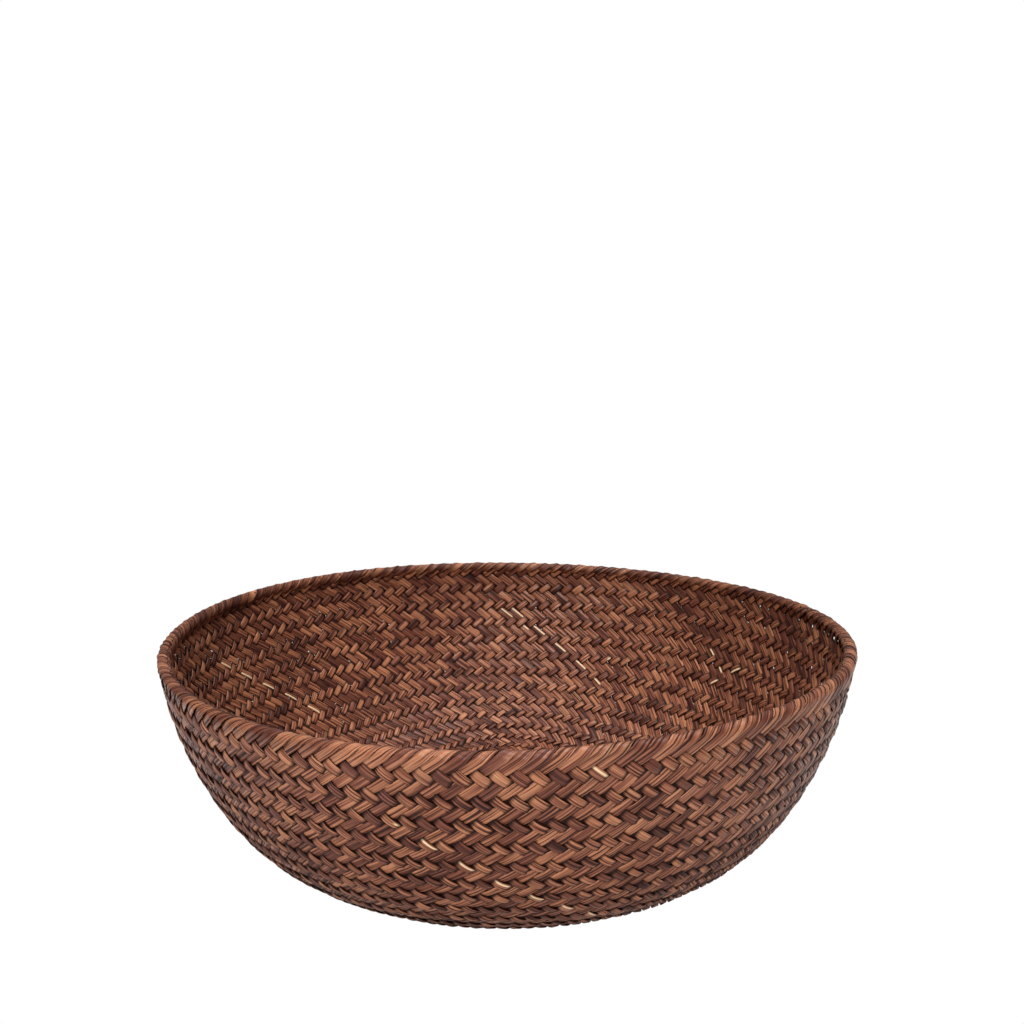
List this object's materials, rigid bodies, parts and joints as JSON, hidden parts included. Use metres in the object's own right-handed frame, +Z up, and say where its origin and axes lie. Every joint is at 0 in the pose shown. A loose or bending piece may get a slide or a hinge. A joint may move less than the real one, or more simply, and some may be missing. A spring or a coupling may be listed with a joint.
{
  "type": "fruit basket",
  "caption": "Round shallow fruit basket, twill plaited on the bias from thin brown strips that fold over a hoop at the rim.",
  "frame": {"origin": "on the table, under the middle of the floor", "axes": "+Z up through the open top; the front is towards -Y"},
  "size_m": [0.3, 0.3, 0.093],
  "materials": {
    "stained_strips": "satin, stained reddish brown, fine lengthwise grain",
    "dark_stained_strips": "satin, stained dark brown, fine lengthwise grain",
    "hoop_cane": "plain cane"
  },
  "bodies": {
    "root": {"floor_strips_lower_left": "stained_strips", "floor_strips_lower_middle": "stained_strips", "floor_strips_lower_right": "stained_strips", "right_strips_leaning_right": "stained_strips", "back_right_strips_leaning_right": "stained_strips", "back_strips_leaning_right": "stained_strips", "back_left_strips_leaning_right": "stained_strips", "left_strips_leaning_right": "stained_strips", "front_left_strips_leaning_right": "stained_strips", "front_strips_leaning_right": "stained_strips", "front_right_strips_leaning_right": "stained_strips", "floor_strips_upper_front": "dark_stained_strips", "floor_strips_upper_middle": "dark_stained_strips", "floor_strips_upper_back": "dark_stained_strips", "right_strips_leaning_left": "dark_stained_strips", "back_right_strips_leaning_left": "dark_stained_strips", "back_strips_leaning_left": "dark_stained_strips", "back_left_strips_leaning_left": "dark_stained_strips", "left_strips_leaning_left": "dark_stained_strips", "front_left_strips_leaning_left": "dark_stained_strips", "front_strips_leaning_left": "dark_stained_strips", "front_right_strips_leaning_left": "dark_stained_strips", "rim_fold": "stained_strips", "rim_hoop": "hoop_cane"}
  },
  "joints": []
}
